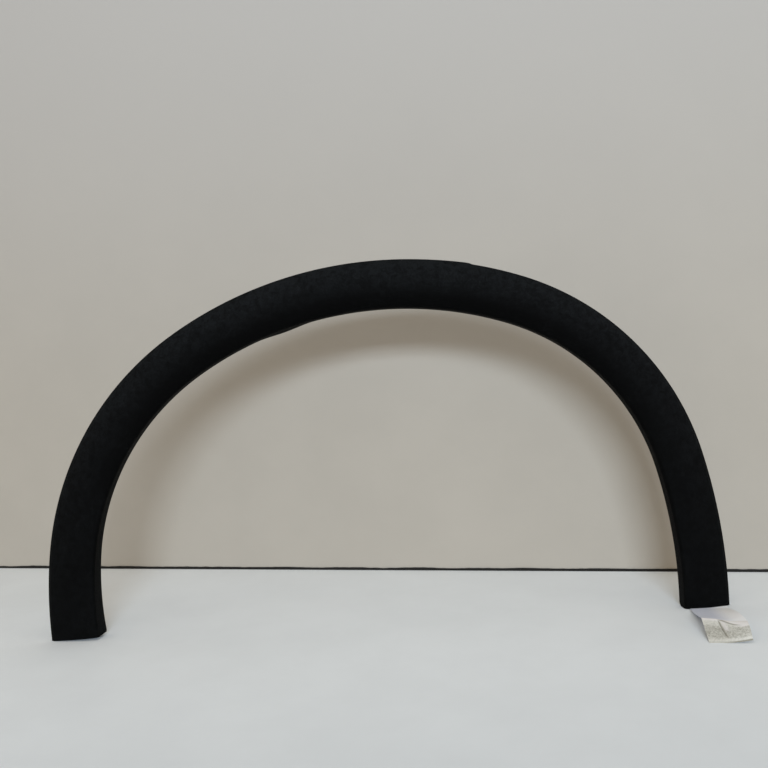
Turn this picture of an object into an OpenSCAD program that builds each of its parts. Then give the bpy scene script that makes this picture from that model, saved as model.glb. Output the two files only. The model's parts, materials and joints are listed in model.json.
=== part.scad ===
// Wheel-arch moulding of black grained plastic, with a small paper stock label under its right foot.
// The outer face looks along -Y and +Z is up. The origin lies on the axis of the locating pin at the
// crown, in the plane in which the outer lip meets the body panel there. Sizes are in millimetres.

/* [Outline of the outer edge] */
// Radius of the outer edge along the right leg
leg_radius_right = 710; // [600:10:850]
// Slope angle at which the right leg runs into the shoulder
leg_turn_right = 16.3; // [13:0.1:20]
// Radius of the outer edge on the right shoulder
shoulder_radius_right = 350; // [320:5:390]
// Slope angle at which the right shoulder runs into the crown
shoulder_turn_right = 71; // [67:0.5:76]
// Radius of the outer edge over the crown
crown_radius = 510; // [460:5:560]
// Slope angle at which the crown runs into the left shoulder
shoulder_turn_left = 122.5; // [118:0.5:127]
// Radius of the outer edge on the left shoulder
shoulder_radius_left = 385; // [370:5:400]
// Slope angle at which the left shoulder runs into the leg
leg_turn_left = 172; // [168:0.5:174]
// Radius of the outer edge along the left leg
leg_radius_left = 550; // [480:10:640]
// Radius in plan of the body side that the whole band follows
body_side_radius = 3800; // [2500:100:9000]

/* [Section of the band] */
// Width of the band from its outer edge to its inner edge
band_w = 60; // [54:0.5:68]
// Distance of the crown line from the inner edge
crown_inset = 23; // [20:0.5:27]
// Distance of the crown line from the inner edge at the left foot
foot_inset_left = 26; // [20:0.5:28]
// Height of the crown line in front of the body panel at the crown
crown_h = 13; // [11:0.5:16]
// Height of the crown line in front of the body panel at the feet
crown_h_foot = 7.5; // [7:0.5:11]
// Radius of the face between the crown line and the rolled inner edge at the crown
face_radius = 45; // [38:1:60]
// Radius of the face between the crown line and the rolled inner edge at the feet
face_radius_foot = 120; // [60:5:160]
// Outside radius of the rolled inner edge at the crown
roll_radius = 7; // [5:0.5:9]
// Outside radius of the rolled inner edge at the feet
roll_radius_foot = 4.5; // [4:0.5:9]
// Wall thickness
wall = 2.6; // [2.2:0.1:3.2]
// Width of the bevelled lip along the outer edge
lip_w = 4.5; // [3:0.5:7]
// Height of the crease between lip and face in front of the body panel at the crown
lip_h = 4.7; // [3.6:0.1:5.6]
// Height of the crease between lip and face in front of the body panel at the feet
lip_h_foot = 5.8; // [5:0.1:6.4]
// Thickness of the lip at its edge at the crown
lip_t = 1.5; // [1:0.1:2]
// Thickness of the lip at its edge at the feet
lip_t_foot = 3; // [1.5:0.1:3.6]

/* [Return flange] */
// Draft of the flange towards the wheel
flange_draft = 3; // [1:0.5:5]
// Draft of the flange towards the wheel at the left foot
flange_draft_left = 8; // [1:0.5:10]
// Reach of the flange behind the lip's plane at the crown
flange_reach_crown = 11; // [10.5:0.5:14]
// Reach of the flange behind the lip's plane at the right foot
flange_reach_right = 14; // [11:0.5:20]
// Reach of the flange behind the lip's plane at the left foot
flange_reach_left = 20; // [13:0.5:26]

/* [Clip towers] */
// Clip towers on each side of the crown
towers_per_side = 4; // [3:1:5]
// Length of a tower along the band
tower_l = 24; // [20:1:30]
// Width of a tower across the band
tower_w = 17; // [15:1:20]
// Wall thickness of a tower
tower_wall = 1.8; // [1.4:0.1:2.4]
// Thickness of the seat plate that a clip slides onto
seat_t = 2.4; // [1.8:0.1:3]
// Depth of the seat plate's outer face below the lip's plane
seat_gap = 0.8; // [0:0.1:2]
// Width of the slot that takes the neck of a clip
slot_w = 7; // [5:0.5:9]

/* [Ribs and end walls] */
// Thickness of the gusset ribs
rib_t = 1.6; // [1:0.1:2.4]
// Reach of the ribs up the flange behind the lip's plane
rib_reach = 6; // [3:0.5:8]
// Span of the ribs beyond the crown line, towards the outer edge
rib_span = 12; // [8:1:18]
// Thickness of the wall that closes each foot
end_wall_t = 2.2; // [1.6:0.1:3]
// Distance of that wall from the end of the band
end_wall_inset = 0.8; // [0.4:0.1:2]

/* [Locating pins] */
// Diameter of the locating pins
pin_d = 5; // [4:0.5:7]
// Reach of the pins behind the lip's plane
pin_reach = 11; // [7:0.5:15]
// Length of the lead-in cone on a pin
pin_lead = 1.5; // [0.5:0.5:2.5]
// Diameter of the shoulder that a pin stands on
shoulder_d = 9; // [8:0.5:12]

/* [Screw holes in the flange] */
// Diameter of the screw holes
screw_d = 5.5; // [4.5:0.5:6.5]
// Diameter of the pad round each hole
pad_d = 12; // [10:0.5:13]
// Height of the pad above the inside of the flange
pad_h = 1.2; // [0.6:0.1:2]
// Distance of the holes from the rolled edge
screw_inset = 7; // [6.5:0.5:7.5]

/* [Stock label] */
// Width of the paper slip
label_w = 47; // [40:1:56]
// Length of the slip from the front of the foot to its fold
label_l_back = 78; // [50:1:90]
// Length of the slip from its fold to its free end
label_l_front = 48; // [30:1:70]
// Length of the slip under the foot
label_tuck = 22; // [8:1:26]
// Thickness of the paper
paper_t = 0.3; // [0.2:0.05:0.5]
// Height of the fold above the floor
fold_h = 14; // [4:1:20]
// Turn of the slip from straight ahead towards the middle of the arch
label_turn = 10; // [0:1:25]

/* [Hidden] */
$fn = 96;

// Length of one step of the sweep along the outer edge
sweep_step = 24;
// Steps of the section's three curves: the outer part of the face, its inner part and the rolled edge
outer_steps = 5;
face_steps = 4;
roll_steps = 6;
// Power of the distance from the crown with which the section changes towards the feet
ease = 5;
// Share of the face's outer part that the wall of a foot spans
end_wall_span = 0.88;
// Overshoot of a hole past the surface it crosses
over = 1;
// Steps of the slip's rise to its fold
rise_steps = 4;

// Outer edge: five arcs that run into each other, from the right foot to the left one
radii = [leg_radius_right, shoulder_radius_right, crown_radius, shoulder_radius_left, leg_radius_left];
crown_line = band_w - crown_inset;
crown_centre = [0, crown_line - crown_radius];
shoulder_centre_right = crown_centre + (crown_radius - shoulder_radius_right) * way(shoulder_turn_right);
leg_centre_right = shoulder_centre_right + (shoulder_radius_right - leg_radius_right) * way(leg_turn_right);
shoulder_centre_left = crown_centre + (crown_radius - shoulder_radius_left) * way(shoulder_turn_left);
leg_centre_left = shoulder_centre_left + (shoulder_radius_left - leg_radius_left) * way(leg_turn_left);
centres = [leg_centre_right, shoulder_centre_right, crown_centre, shoulder_centre_left, leg_centre_left];

// The right foot stands flat on the slip of paper, and the left one stands on its outer corner
floor_z = leg_centre_right[1] - paper_t;
foot_turn_left = 180 - asin((floor_z - leg_centre_left[1]) / leg_radius_left);
turns = [0, leg_turn_right, shoulder_turn_right, shoulder_turn_left, leg_turn_left, foot_turn_left];

function way(a) = [cos(a), sin(a)];
function arc_length(i) = radii[i] * (turns[i + 1] - turns[i]) * PI / 180;
function length_to(i) = i == 0 ? 0 : length_to(i - 1) + arc_length(i - 1);
full_length = length_to(5);
crown_station = length_to(2) + crown_radius * (90 - shoulder_turn_right) * PI / 180;

// Slope of the outer edge at a length along it, and the point where the edge has that slope
function turn_at(s, i = 0) =
    i == 4 || s <= length_to(i + 1) ? turns[i] + (s - length_to(i)) / radii[i] * 180 / PI : turn_at(s, i + 1);
function arc_of(a) = len([for (i = [1:4]) if (a > turns[i]) i]);
function edge_point(a) = centres[arc_of(a)] + radii[arc_of(a)] * way(a);

// Depth by which the body side falls away at a distance from the middle of the arch
middle_x = (edge_point(0)[0] + edge_point(foot_turn_left)[0]) / 2;
function side_depth(x) = body_side_radius - sqrt(pow(body_side_radius, 2) - pow(x - middle_x, 2));
crown_depth = side_depth(0);

// Share of the change from the crown's section to a foot's section
function station(a) = let (i = arc_of(a)) length_to(i) + radii[i] * (a - turns[i]) * PI / 180;
function foot_share(a) =
    let (s = station(a) - crown_station)
    pow(abs(s) / (s < 0 ? crown_station : full_length - crown_station), ease);
function eased(a, crown, foot) = crown + (foot - crown) * foot_share(a);

// Section. x is 0 at the outer edge and negative towards the wheel, y is the depth behind the lip's plane.
function height(a) = eased(a, crown_h, crown_h_foot);
function outer_radius(a) =
    let (run = crown_line - lip_w, rise = height(a) - eased(a, lip_h, lip_h_foot))
    (run * run + rise * rise) / (2 * rise);
function outer_angle(a) = asin((crown_line - lip_w) / outer_radius(a));
function inner_radius(a) = eased(a, face_radius, face_radius_foot);
function inset(a) = a < 90 ? crown_inset : eased(a, crown_inset, foot_inset_left);
function roll(a) = eased(a, roll_radius, roll_radius_foot);
function draft(a) = a < 90 ? flange_draft : eased(a, flange_draft, flange_draft_left);
function inner_angle(a) = asin((inset(a) - roll(a) * cos(draft(a))) / (inner_radius(a) - roll(a)));
function outer_centre(a) = [-crown_line, outer_radius(a) - height(a)];
function inner_centre(a) = [-crown_line, inner_radius(a) - height(a)];
function roll_centre(a) =
    inner_centre(a) - (inner_radius(a) - roll(a)) * [sin(inner_angle(a)), cos(inner_angle(a))];
function flange_in(a) = [cos(draft(a)), sin(draft(a))];
function flange_way(a) = [-sin(draft(a)), cos(draft(a))];
function flange_root(a) = roll_centre(a) - roll(a) * flange_in(a);

// Points of an arc whose angle is measured from the front of its centre, positive towards the outer edge
function arc(centre, r, from, to, steps) =
    [for (i = [0:steps]) let (b = from + (to - from) * i / steps) centre + r * [sin(b), -cos(b)]];
function tail(list) = [for (i = [1:len(list) - 1]) list[i]];
function backwards(list) = [for (i = [len(list) - 1:-1:0]) list[i]];

// The face and its rolled edge at a depth below the surface, starting at an angle on the outer part
function face_line(a, depth, from) = concat(
    arc(outer_centre(a), outer_radius(a) - depth, from, 0, outer_steps),
    tail(arc(inner_centre(a), inner_radius(a) - depth, 0, -inner_angle(a), face_steps)),
    tail(arc(roll_centre(a), roll(a) - depth, -inner_angle(a), draft(a) - 90, roll_steps))
);

// Depth of the middle of the wall across the band, measured from the crown line
function face_depth(a, x) =
    x > 0 ? outer_centre(a)[1] - sqrt(pow(outer_radius(a) - wall / 2, 2) - x * x)
          : inner_centre(a)[1] - sqrt(pow(inner_radius(a) - wall / 2, 2) - x * x);

// A point of the flange at a depth below its wheel side and a reach behind the lip's plane
function flange_point(a, depth, reach) =
    flange_root(a) + (reach - flange_root(a)[1]) / cos(draft(a)) * flange_way(a) + depth * flange_in(a);

// The flange deepens towards the feet
function flange_reach(a) = eased(a, flange_reach_crown, a < 90 ? flange_reach_right : flange_reach_left);

function wall_section(a) =
    let (lip = eased(a, lip_t, lip_t_foot), angle = outer_angle(a))
    concat(
        [[0, -lip * cos(angle)]],
        face_line(a, 0, angle),
        [flange_point(a, 0, flange_reach(a)), flange_point(a, wall, flange_reach(a))],
        backwards(face_line(a, wall, angle)),
        [[-lip * sin(angle), 0]]
    );

// Places a section's points where the edge has a given slope, on the curved body side
function in_space(points, a) =
    let (p = edge_point(a), n = way(a))
    [for (q = points) let (x = p[0] + q[0] * n[0]) [x, q[1] + side_depth(x) - crown_depth, p[1] + q[0] * n[1]]];

// The same points in the frame of at_section, in which only their depth changes
function in_section(points, a) =
    [for (q = points) [q[0], q[1] + side_depth(edge_point(a)[0] + q[0] * cos(a)) - crown_depth]];

sweep_turns = concat([0], [
    for (i = [0:4])
        let (n = ceil(arc_length(i) / sweep_step))
        for (k = [1:n]) turns[i] + (turns[i + 1] - turns[i]) * k / n
]);

module swept_wall() {
    rings = [for (a = sweep_turns) in_space(wall_section(a), a)];
    m = len(rings[0]);
    last = len(rings) - 1;
    sides = [
        for (r = [0:last - 1], k = [0:m - 1])
            let (p = r * m + k, q = r * m + (k + 1) % m)
            each [[p, q, q + m], [p, q + m, p + m]]
    ];
    ends = [[for (k = [m - 1:-1:0]) k], [for (k = [0:m - 1]) last * m + k]];
    polyhedron([for (r = rings) each r], concat(sides, ends), convexity = 12);
}

// Moves to a station on the outer edge. x then points away from the wheel, y back and z along the band.
module at_section(a) {
    p = edge_point(a);
    translate([p[0], 0, p[1]]) rotate([0, -a, 0]) children();
}

// Moves on to the crown line there, with y = 0 at the depth of the lip's plane
module at_crown_line(a) {
    x = edge_point(a)[0] - crown_line * cos(a);
    at_section(a) translate([-crown_line, side_depth(x) - crown_depth, 0]) children();
}

// A flat web across the band, cut to a section's outline
module web(points, a, t) {
    at_section(a) linear_extrude(t, center = true) polygon(in_section(points, a));
}

module gusset_rib(a) {
    web(concat(
        face_line(a, wall / 2, asin(rib_span / outer_radius(a))),
        [flange_point(a, wall / 2, rib_reach), flange_point(a, wall + rib_t, rib_reach)]
    ), a, rib_t);
}

// The wall of a foot ends level with the lip's plane, and runs up the flange
module end_wall(a, side) {
    shift = side * (end_wall_inset + end_wall_t / 2);
    reach = flange_reach_crown;
    at_section(a) translate([0, 0, shift]) linear_extrude(end_wall_t, center = true)
        polygon(in_section(concat(
            face_line(a, wall / 2, outer_angle(a) * end_wall_span),
            [flange_point(a, wall / 2, reach), flange_point(a, wall, reach), [-crown_line, 0]]
        ), a));
}

// A tower has two side walls and one cross wall, and its slot opens along the band
module clip_tower(a) {
    top = -seat_gap;
    under = top - seat_t;
    side_walls = [-tower_w / 2, tower_w / 2 - tower_wall];
    at_crown_line(a) {
        difference() {
            translate([-tower_w / 2, under, -tower_l / 2]) cube([tower_w, seat_t, tower_l]);
            translate([0, under - over, 0]) rotate([-90, 0, 0]) cylinder(d = slot_w, h = seat_t + 2 * over);
            translate([-slot_w / 2, under - over, 0]) cube([slot_w, seat_t + 2 * over, tower_l]);
        }
        for (x = side_walls) {
            base = min(face_depth(a, x), face_depth(a, x + tower_wall));
            translate([x, base, -tower_l / 2]) cube([tower_wall, under + seat_t / 2 - base, tower_l]);
        }
        base = wall / 2 - height(a);
        translate([-tower_w / 2 + tower_wall / 2, base, -tower_l / 2])
            cube([tower_w - tower_wall, under + seat_t / 2 - base, tower_wall]);
    }
}

// A pin stands on a shoulder that ends level with the seats of the towers
module locating_pin(a) {
    base = wall / 2 - height(a);
    at_crown_line(a) rotate([-90, 0, 0]) {
        translate([0, 0, base]) cylinder(d = shoulder_d, h = -seat_gap - base);
        translate([0, 0, base]) cylinder(d = pin_d, h = pin_reach - pin_lead - base);
        translate([0, 0, pin_reach - pin_lead]) cylinder(d1 = pin_d, d2 = pin_d - pin_lead, h = pin_lead);
    }
}

// Moves to a screw hole, with z along its axis from the wheel side of the flange
module at_screw(a) {
    foot = in_section([flange_root(a) + screw_inset * flange_way(a)], a)[0];
    at_section(a) translate([foot[0], foot[1], 0]) rotate([0, 90, 0]) rotate([-draft(a), 0, 0]) children();
}

module screw_pad(a) {
    at_screw(a) translate([0, 0, wall / 2]) cylinder(d = pad_d, h = wall / 2 + pad_h);
}

module screw_hole(a) {
    at_screw(a) translate([0, 0, -over]) cylinder(d = screw_d, h = wall + pad_h + 2 * over);
}

// Slopes at the features, spread evenly over each side
pitch_right = crown_station / towers_per_side;
pitch_left = (full_length - crown_station) / towers_per_side;
function spread(steps) = concat(
    [for (k = steps) turn_at(crown_station - k * pitch_right)],
    [for (k = steps) turn_at(crown_station + k * pitch_left)]
);
tower_turns = spread([for (i = [0:towers_per_side - 1]) i + 0.5]);
rib_turns = spread([for (i = [0:towers_per_side - 1], k = [1 / 6, 5 / 6]) if (i + k < towers_per_side - 0.5) i + k]);
pin_turns = concat([90], spread([floor(towers_per_side / 2)]));
screw_turns = spread([0.5]);

module arch_moulding() color("#1b1d20") {
    difference() {
        union() {
            swept_wall();
            for (a = tower_turns) clip_tower(a);
            for (a = rib_turns) gusset_rib(a);
            for (a = pin_turns) locating_pin(a);
            for (a = screw_turns) screw_pad(a);
            end_wall(0, 1);
            end_wall(foot_turn_left, -1);
        }
        for (a = screw_turns) screw_hole(a);
    }
}

// The slip lies flat under the foot, rises in front of it to the fold, and comes down to its free end
label_line = concat(
    [[-label_tuck, 0], [0, 0]],
    [for (k = [1:rise_steps]) let (u = k / rise_steps) [label_l_back * u, fold_h * u * (1 + u) / 2]],
    [[label_l_back + label_l_front, 0]]
);

module stock_label() color("#d9d6cf") {
    skin = concat(label_line, [for (p = backwards(label_line)) p + [0, paper_t]]);
    foot_x = edge_point(0)[0];
    front_y = side_depth(foot_x - crown_line) - crown_depth - crown_h_foot;
    translate([foot_x - band_w / 2, front_y, floor_z]) rotate([0, 0, -label_turn])
        rotate([90, 0, -90]) linear_extrude(label_w, center = true) polygon(skin);
}

arch_moulding();
stock_label();
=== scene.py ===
"""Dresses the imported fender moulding: one swept moulded strip, a paper slip under its foot, and a stage."""

import json
from math import asin, atan2, ceil, cos, pi, radians, sin, sqrt, tan

import bmesh
import bpy
from bpy.props import FloatProperty, FloatVectorProperty, IntProperty, PointerProperty
from mathutils import Matrix, Vector
from mathutils.noise import noise

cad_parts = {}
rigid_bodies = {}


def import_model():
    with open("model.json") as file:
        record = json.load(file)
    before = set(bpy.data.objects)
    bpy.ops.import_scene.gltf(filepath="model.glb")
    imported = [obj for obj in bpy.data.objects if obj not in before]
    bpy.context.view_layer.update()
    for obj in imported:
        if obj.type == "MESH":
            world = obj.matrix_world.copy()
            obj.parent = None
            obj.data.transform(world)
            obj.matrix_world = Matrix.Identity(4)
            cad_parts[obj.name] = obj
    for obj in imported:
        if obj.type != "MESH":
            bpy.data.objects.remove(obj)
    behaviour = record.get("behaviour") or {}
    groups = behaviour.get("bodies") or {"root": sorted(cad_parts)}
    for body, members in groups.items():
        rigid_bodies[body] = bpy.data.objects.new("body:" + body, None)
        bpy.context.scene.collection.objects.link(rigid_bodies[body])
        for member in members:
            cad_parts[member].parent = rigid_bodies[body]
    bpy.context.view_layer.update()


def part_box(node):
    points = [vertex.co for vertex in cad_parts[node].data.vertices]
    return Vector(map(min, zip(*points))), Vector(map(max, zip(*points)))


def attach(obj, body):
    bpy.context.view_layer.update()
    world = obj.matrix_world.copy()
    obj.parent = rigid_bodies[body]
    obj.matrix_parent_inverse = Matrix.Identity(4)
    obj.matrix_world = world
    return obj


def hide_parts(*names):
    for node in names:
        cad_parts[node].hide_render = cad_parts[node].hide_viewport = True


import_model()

bl_info = {
    "name": "Fender moulding",
    "version": (1, 0, 0),
    "blender": (4, 5, 0),
    "location": "View3D > Sidebar > Moulding",
    "description": "Builds a wheel-arch moulding with its clip seats, a paper slip and a plain stage",
    "category": "Object",
}

BODY = "root"
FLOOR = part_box("stock_label")[0].z
SHOW, HIDDEN = 0, 1  # the strip's material slots
CORNER_STEPS = 4  # steps of a rounded corner of the section
MOST_OF_SIDE = 0.45  # share of a side that one rounded corner may take up
# steps over the face's outer part, its inner part and the rolled edge
FACE_STEPS, RIB_STEPS, END_WALL_STEPS = (16, 10, 14), (6, 6, 8), (8, 6, 8)
FLANGE_SHARES = (0.33, 0.66, 1)  # shares of the flange's reach at which its sides have points
FOOT_RINGS, CORNER_RINGS = 4, 8  # rings of the sweep over a foot's edge, and over the flange's corner
END_WALL_SPAN = 0.88  # share of the face's outer part that an end wall closes
SLOT_STEPS, PIN_SIDES, SCREW_SIDES = 16, 40, 48
# shares of a tower's pitch at which the towers, the ribs beside them and the screw holes stand
TOWER_AT, RIBS_AT, SCREW_AT = 0.5, (1 / 6, 5 / 6), 0.5
PAST = 0.001  # how far a cutter reaches past what it cuts
MIX_FACTOR, MIX_A, MIX_B, MIX_OUT = 0, 6, 7, 2  # sockets of a Mix node that blends colours
SHEET_HALF = 3.0  # half the width of the table and of the board
JOINT_CLEAR = 0.001  # how far the black sheet of painted gap shade lies in front of the board


def length(name, description, default):
    return FloatProperty(name=name, description=description, default=default, min=0,
                         unit="LENGTH", precision=4)


def number(name, description, default, least=0):
    return FloatProperty(name=name, description=description, default=default, min=least)


def angle(name, description, default):
    return FloatProperty(name=name, description=description, default=radians(default), subtype="ANGLE")


def count(name, description, default):
    return IntProperty(name=name, description=description, default=default, min=1)


def colour(name, description, default):
    return FloatVectorProperty(name=name, description=description, default=default, min=0, max=1,
                               size=3, subtype="COLOR")


class OutlineSizes(bpy.types.PropertyGroup):
    leg_radius_right: length("Right leg radius", "Radius of the outer edge along the right leg", 0.710)
    leg_turn_right: angle("Right leg turn", "Slope at which the right leg runs into the shoulder", 16.3)
    shoulder_radius_right: length("Right shoulder radius", "Radius of the edge on that shoulder", 0.350)
    shoulder_turn_right: angle("Right shoulder turn", "Slope at which the right shoulder ends", 71)
    crown_radius: length("Crown radius", "Radius of the outer edge over the crown", 0.510)
    shoulder_turn_left: angle("Left shoulder turn", "Slope at which the left shoulder starts", 122.5)
    shoulder_radius_left: length("Left shoulder radius", "Radius of the edge on that shoulder", 0.385)
    leg_turn_left: angle("Left leg turn", "Slope at which the left shoulder runs into the leg", 172)
    leg_radius_left: length("Left leg radius", "Radius of the outer edge along the left leg", 0.550)
    body_side_radius: length("Body side radius", "Plan radius of the body side under the band", 3.8)
    ring_step: length("Ring step", "Length of one step of the sweep along the outer edge", 0.004)


class SectionSizes(bpy.types.PropertyGroup):
    band_w: length("Band width", "Width of the band from its outer to its inner edge", 0.060)
    crown_inset: length("Crown inset", "Distance of the crown line from the inner edge", 0.023)
    foot_inset_left: length("Crown inset, left foot", "The same distance at the left foot", 0.026)
    crown_h: length("Crown height", "Height of the crown line off the body panel at the crown", 0.013)
    crown_h_foot: length("Crown height, feet", "The same height at the feet", 0.0075)
    face_radius: length("Face radius", "Radius of the face's inner part at the crown", 0.045)
    face_radius_foot: length("Face radius, feet", "The same radius at the feet", 0.120)
    roll_radius: length("Roll radius", "Outside radius of the rolled inner edge at the crown", 0.007)
    roll_radius_foot: length("Roll radius, feet", "The same radius at the feet", 0.0045)
    wall: length("Wall", "Wall thickness", 0.0026)
    lip_w: length("Lip width", "Width of the bevelled lip along the outer edge", 0.0045)
    lip_h: length("Lip height", "Height of the crease between lip and face at the crown", 0.0047)
    lip_h_foot: length("Lip height, feet", "The same height at the feet", 0.0058)
    lip_t: length("Lip thickness", "Thickness of the lip at its edge at the crown", 0.0015)
    lip_t_foot: length("Lip thickness, feet", "The same thickness at the feet", 0.003)
    flange_draft: angle("Flange draft", "Draft of the return flange towards the wheel", 3)
    flange_draft_left: angle("Flange draft, left foot", "The same draft at the left foot", 8)
    flange_reach_crown: length("Flange reach", "Reach behind the lip's plane at the crown", 0.011)
    flange_reach_right: length("Flange reach, right foot", "The same reach at the right foot", 0.014)
    flange_reach_left: length("Flange reach, left foot", "The same reach at the left foot", 0.020)
    corner_round: length("Corner rounding", "Rounding of the flange's free corner at the right foot", 0.006)
    corner_round_left: length("Corner rounding, left", "The same rounding at the left foot", 0.0025)
    edge_round: length("Edge rounding", "Rounding of the moulding's free edges", 0.0005)
    crease_round: length("Crease rounding", "Rounding of the crease between lip and face", 0.0014)
    ease: number("Ease", "Power with which the section changes towards the feet", 5, 1)


class DetailSizes(bpy.types.PropertyGroup):
    towers_per_side: count("Towers per side", "Clip towers on each side of the crown", 4)
    tower_l: length("Tower length", "Length of a tower along the band", 0.024)
    tower_w: length("Tower width", "Width of a tower across the band", 0.017)
    tower_wall: length("Tower wall", "Wall thickness of a tower", 0.0018)
    seat_t: length("Seat thickness", "Thickness of the seat plate that a clip slides onto", 0.0024)
    seat_gap: length("Seat gap", "Depth of the seat plate's outer face below the lip's plane", 0.0008)
    slot_w: length("Slot width", "Width of the slot that takes the neck of a clip", 0.007)
    rib_t: length("Rib thickness", "Thickness of the gusset ribs", 0.0016)
    rib_reach: length("Rib reach", "Reach of the ribs up the flange", 0.006)
    rib_span: length("Rib span", "Span of the ribs beyond the crown line", 0.012)
    end_wall_t: length("End wall", "Thickness of the wall that closes each foot", 0.0022)
    end_wall_inset: length("End wall inset", "Distance of that wall from the end of the band", 0.0008)
    pin_d: length("Pin diameter", "Diameter of the locating pins", 0.005)
    pin_reach: length("Pin reach", "Reach of the pins behind the lip's plane", 0.011)
    pin_lead: length("Pin lead-in", "Length of the lead-in cone on a pin", 0.0015)
    shoulder_d: length("Pin shoulder", "Diameter of the shoulder that a pin stands on", 0.009)
    screw_d: length("Screw hole", "Diameter of the screw holes in the flange", 0.0055)
    pad_d: length("Pad diameter", "Diameter of the pad round each screw hole", 0.012)
    pad_h: length("Pad height", "Height of the pad above the inside of the flange", 0.0012)
    screw_inset: length("Screw inset", "Distance of the holes from the rolled edge", 0.007)
    chamfer: length("Chamfer", "Chamfer on the free edges of ribs and towers", 0.0003)


class FaultSizes(bpy.types.PropertyGroup):
    nick_from_crown: length("Nick", "Distance of the lip's nick from the crown, to the right", 0.102)
    proud: length("Proud lip", "Rise of the lip beside the nick", 0.0012)
    proud_run: length("Proud run", "Length of the proud stretch of lip", 0.090)
    nick_end: length("Nick end", "Length over which the proud stretch ends at the nick", 0.0025)
    bow_from_crown: length("Bow", "Distance of the bowed flange from the crown, to the left", 0.150)
    bow: length("Bow depth", "Depth by which the flange bows towards the wheel there", 0.0022)
    bow_run: length("Bow run", "Length from the middle of the bow to its ends", 0.045)


class SlipSizes(bpy.types.PropertyGroup):
    slip_w: length("Slip width", "Width of the paper slip", 0.047)
    back: length("Foot to fold", "Length of the slip from the foot to its fold", 0.078)
    front: length("Fold to end", "Length of the slip from its fold to its free end", 0.048)
    tuck: length("Tuck", "Length of the slip under the foot", 0.022)
    thickness: length("Paper thickness", "Thickness of the paper", 0.0003)
    fold_h: length("Fold height", "Height of the fold above the floor", 0.0137)
    turn: angle("Turn", "Turn of the slip towards the middle of the arch", 10)


class Finishes(bpy.types.PropertyGroup):
    plastic: colour("Plastic", "Black of the moulded plastic", (0.0011, 0.0011, 0.0011))
    # painted light: the hidden side's black is painted paler than the face's, for light on the dim back
    inside: colour("Inside", "Black of the smoother plastic on the hidden side", (0.0120, 0.0123, 0.0130))
    chalk: colour("Chalking", "Plastic that dust, light and handling have paled", (0.0080, 0.0090, 0.0100))
    grain: length("Grain", "Size of the pebbles of the moulded grain", 0.0011)
    paper: colour("Paper", "White of the slip's plain part", (0.92, 0.94, 0.98))
    faded: colour("Faded paper", "Tone of the slip's faded part", (0.63, 0.62, 0.575))
    # this tone also paints the shade of the slip's creases and the shadow along its free end
    smudge_and_shade: colour("Smudged paper", "Tone of the slip's smudges", (0.26, 0.25, 0.21))


class StageSizes(bpy.types.PropertyGroup):
    board_gap: length("Board gap", "Distance of the board behind the origin", 0.2719)
    board_turn: angle("Board turn", "Turn of the board in plan", -12.33)
    # height of the black sheet of painted shade in the gap between board and table
    joint_h: length("Joint height", "Height of the dark joint between board and table", 0.0042)
    table: colour("Table", "Colour of the table", (0.78, 0.822, 0.866))
    board: colour("Board", "Colour of the board behind", (0.429, 0.392, 0.343))
    # painted light: the board's paler colour towards its top
    board_lit_top: colour("Top of the board", "Colour of the board towards its top", (0.4675, 0.451, 0.434))
    # painted shade: colour of the black sheet that stands for the shade in the gap
    gap_shade: colour("Joint", "Colour of the joint", (0.006, 0.005, 0.004))
    room: colour("Room", "Colour of the light that fills the room", (1.0, 0.88, 0.71))
    front: colour("Front lamp", "Colour of the lamp in front", (0.74, 0.87, 1.0))
    above: colour("Lamp above", "Colour of the lamp above", (0.85, 0.93, 1.0))
    room_strength: number("Room strength", "Strength of the room's light", 0.66)
    eye: FloatVectorProperty(name="Eye", description="Place of the camera", size=3, subtype="TRANSLATION",
                             unit="LENGTH", default=(-0.01068, -1.05993, -0.06382))
    pitch: angle("Pitch", "Tilt of the camera below the horizon", 2.805)
    roll: angle("Roll", "Roll of the camera", -3.030)
    lens: number("Lens", "Focal length in millimetres for a 36 mm frame", 40.17, 1)


def sizes(name):
    return getattr(bpy.context.scene, name)


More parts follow.
